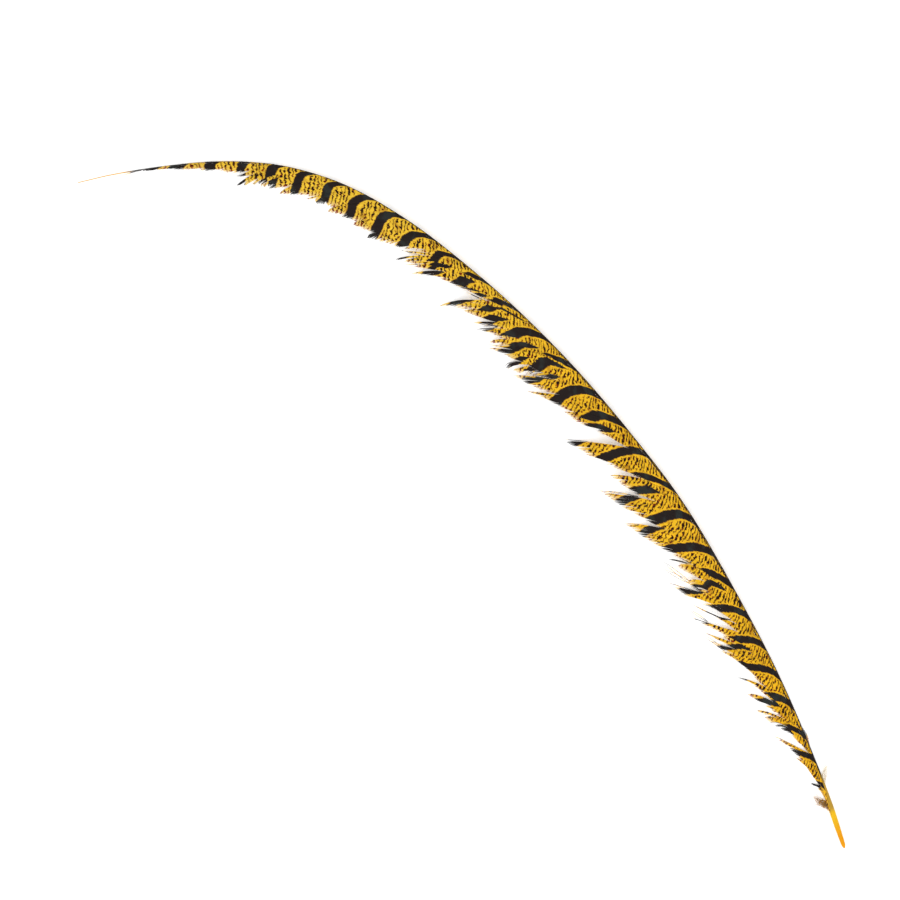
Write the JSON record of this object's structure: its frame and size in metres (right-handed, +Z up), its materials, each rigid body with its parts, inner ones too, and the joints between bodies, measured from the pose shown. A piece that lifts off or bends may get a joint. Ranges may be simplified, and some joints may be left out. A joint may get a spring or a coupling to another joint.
{
  "type": "pheasant tail feather",
  "caption": "Long bowed pheasant tail feather dyed gold, with black cross bars, fine dark mottling, a ragged wide vane split into locks and a bare orange quill, lying flat.",
  "frame": {"origin": "under the middle of the feather's box, on the surface it lies on", "axes": "+X along the straight line from the butt of the quill to the tip, +Y towards the wide vane and the inner side of the bow, +Z up"},
  "size_m": [0.712, 0.1358, 0.0104],
  "materials": {
    "feather": "soft satin barbs, gold with near-black bars"
  },
  "bodies": {
    "root": {"feather": "feather"}
  },
  "joints": []
}
